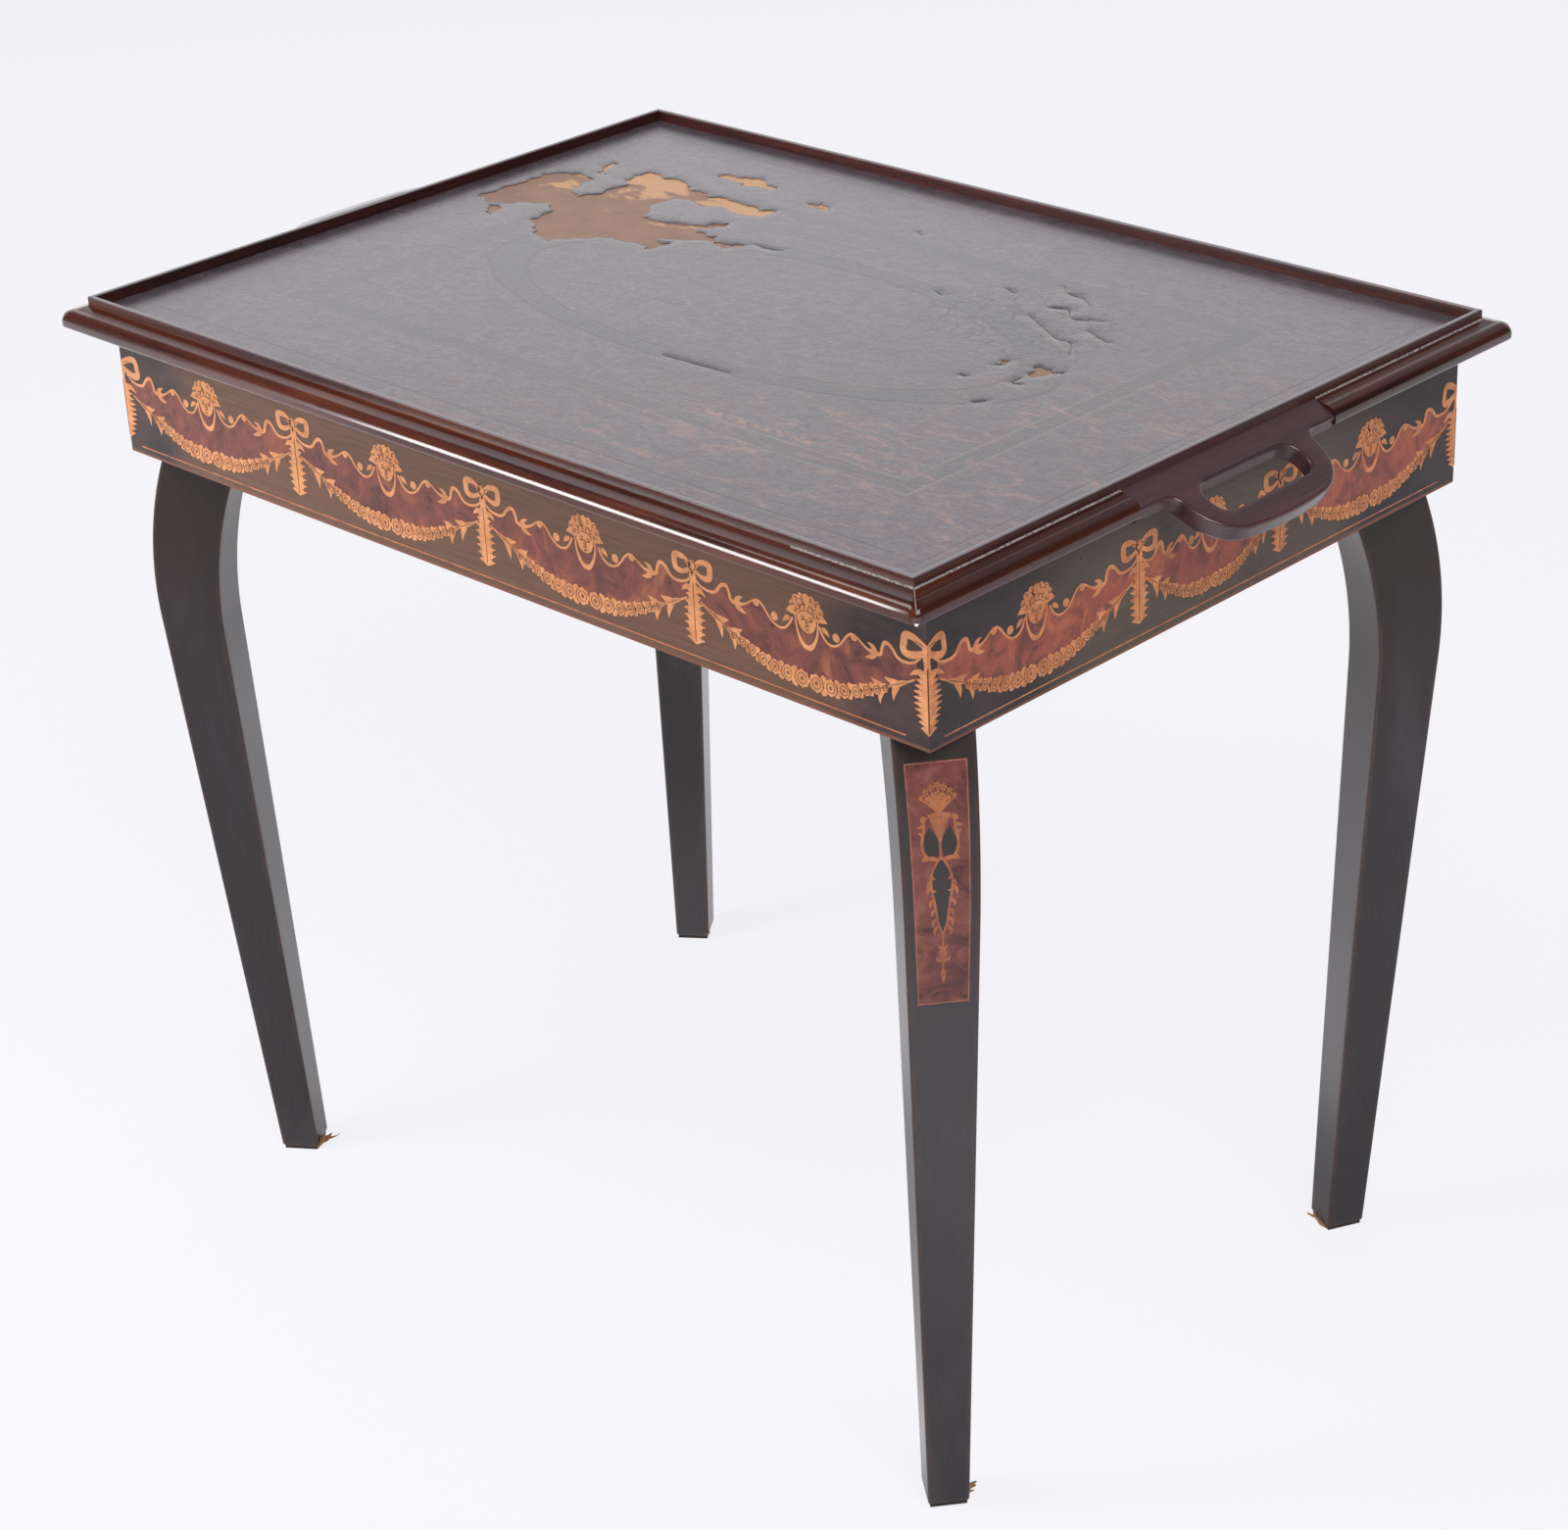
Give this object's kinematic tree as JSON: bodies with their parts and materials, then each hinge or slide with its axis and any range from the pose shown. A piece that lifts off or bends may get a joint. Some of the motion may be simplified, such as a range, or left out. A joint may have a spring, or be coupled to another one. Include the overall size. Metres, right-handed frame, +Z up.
{
  "type": "games table",
  "caption": "Rectangular games table: inlaid frieze box on diagonal curved legs, closed by a lift-off tray top with raised lip, moulded edge and sloping loop handles.",
  "frame": {"origin": "on the floor under the middle of the table", "axes": "+Z up, +X along the long side towards the right handle, front long side towards -Y"},
  "size_m": [0.911, 0.6022, 0.72],
  "materials": {
    "mahogany": "french-polished dark red-brown mahogany, worn at the arrises",
    "burr_veneer": "faded dark burr veneer, cracked and partly lost, satin polish",
    "frieze_marquetry": "marquetry of burr, boxwood and ebonised veneers, satin polish",
    "panel_marquetry": "burr panel with boxwood inlay, satin polish",
    "ebonised_wood": "ebonised hardwood, satin, rubbed brown at the edges",
    "carcass_pine": "aged bare pine",
    "games_marquetry": "inlaid boxwood and dark points on burr, satin polish",
    "screw_brass": "dull brass",
    "dowel_beech": "bare beech",
    "foot_felt": "worn brown felt"
  },
  "bodies": {
    "base": {"rail_front": "carcass_pine", "rail_back": "carcass_pine", "rail_left": "carcass_pine", "rail_right": "carcass_pine", "frieze_veneer_front": "frieze_marquetry", "frieze_veneer_back": "frieze_marquetry", "frieze_veneer_left": "frieze_marquetry", "frieze_veneer_right": "frieze_marquetry", "corner_block_front_left": "carcass_pine", "corner_block_front_right": "carcass_pine", "corner_block_back_right": "carcass_pine", "corner_block_back_left": "carcass_pine", "leg_front_left": "ebonised_wood", "leg_front_right": "ebonised_wood", "leg_back_right": "ebonised_wood", "leg_back_left": "ebonised_wood", "leg_panel_front_left": "panel_marquetry", "leg_panel_front_right": "panel_marquetry", "leg_panel_back_right": "panel_marquetry", "leg_panel_back_left": "panel_marquetry", "foot_pad_front_left": "foot_felt", "foot_pad_front_right": "foot_felt", "foot_pad_back_right": "foot_felt", "foot_pad_back_left": "foot_felt", "floor_bearer_front": "carcass_pine", "floor_bearer_back": "carcass_pine", "floor_bearer_left": "carcass_pine", "floor_bearer_right": "carcass_pine", "well_floor": "carcass_pine", "games_board": "games_marquetry", "games_bar": "games_marquetry", "floor_screws": "screw_brass"},
    "tray": {"tray_board": "carcass_pine", "tray_veneer_sheet": "burr_veneer", "tray_lip_front": "mahogany", "tray_lip_back": "mahogany", "tray_lip_left": "mahogany", "tray_lip_right": "mahogany", "moulding_front": "mahogany", "moulding_back": "mahogany", "moulding_left_front": "mahogany", "moulding_left_back": "mahogany", "moulding_right_front": "mahogany", "moulding_right_back": "mahogany", "handle_left": "mahogany", "handle_right": "mahogany", "handle_dowels": "dowel_beech", "tray_batten_front": "carcass_pine", "tray_batten_back": "carcass_pine", "tray_batten_left": "carcass_pine", "tray_batten_right": "carcass_pine", "batten_screws": "screw_brass"}
  },
  "joints": [
    {"name": "tray_lift", "type": "slide", "parent": "base", "child": "tray", "axis": [0, 0, 1], "range_m": [0, 0.25]}
  ]
}
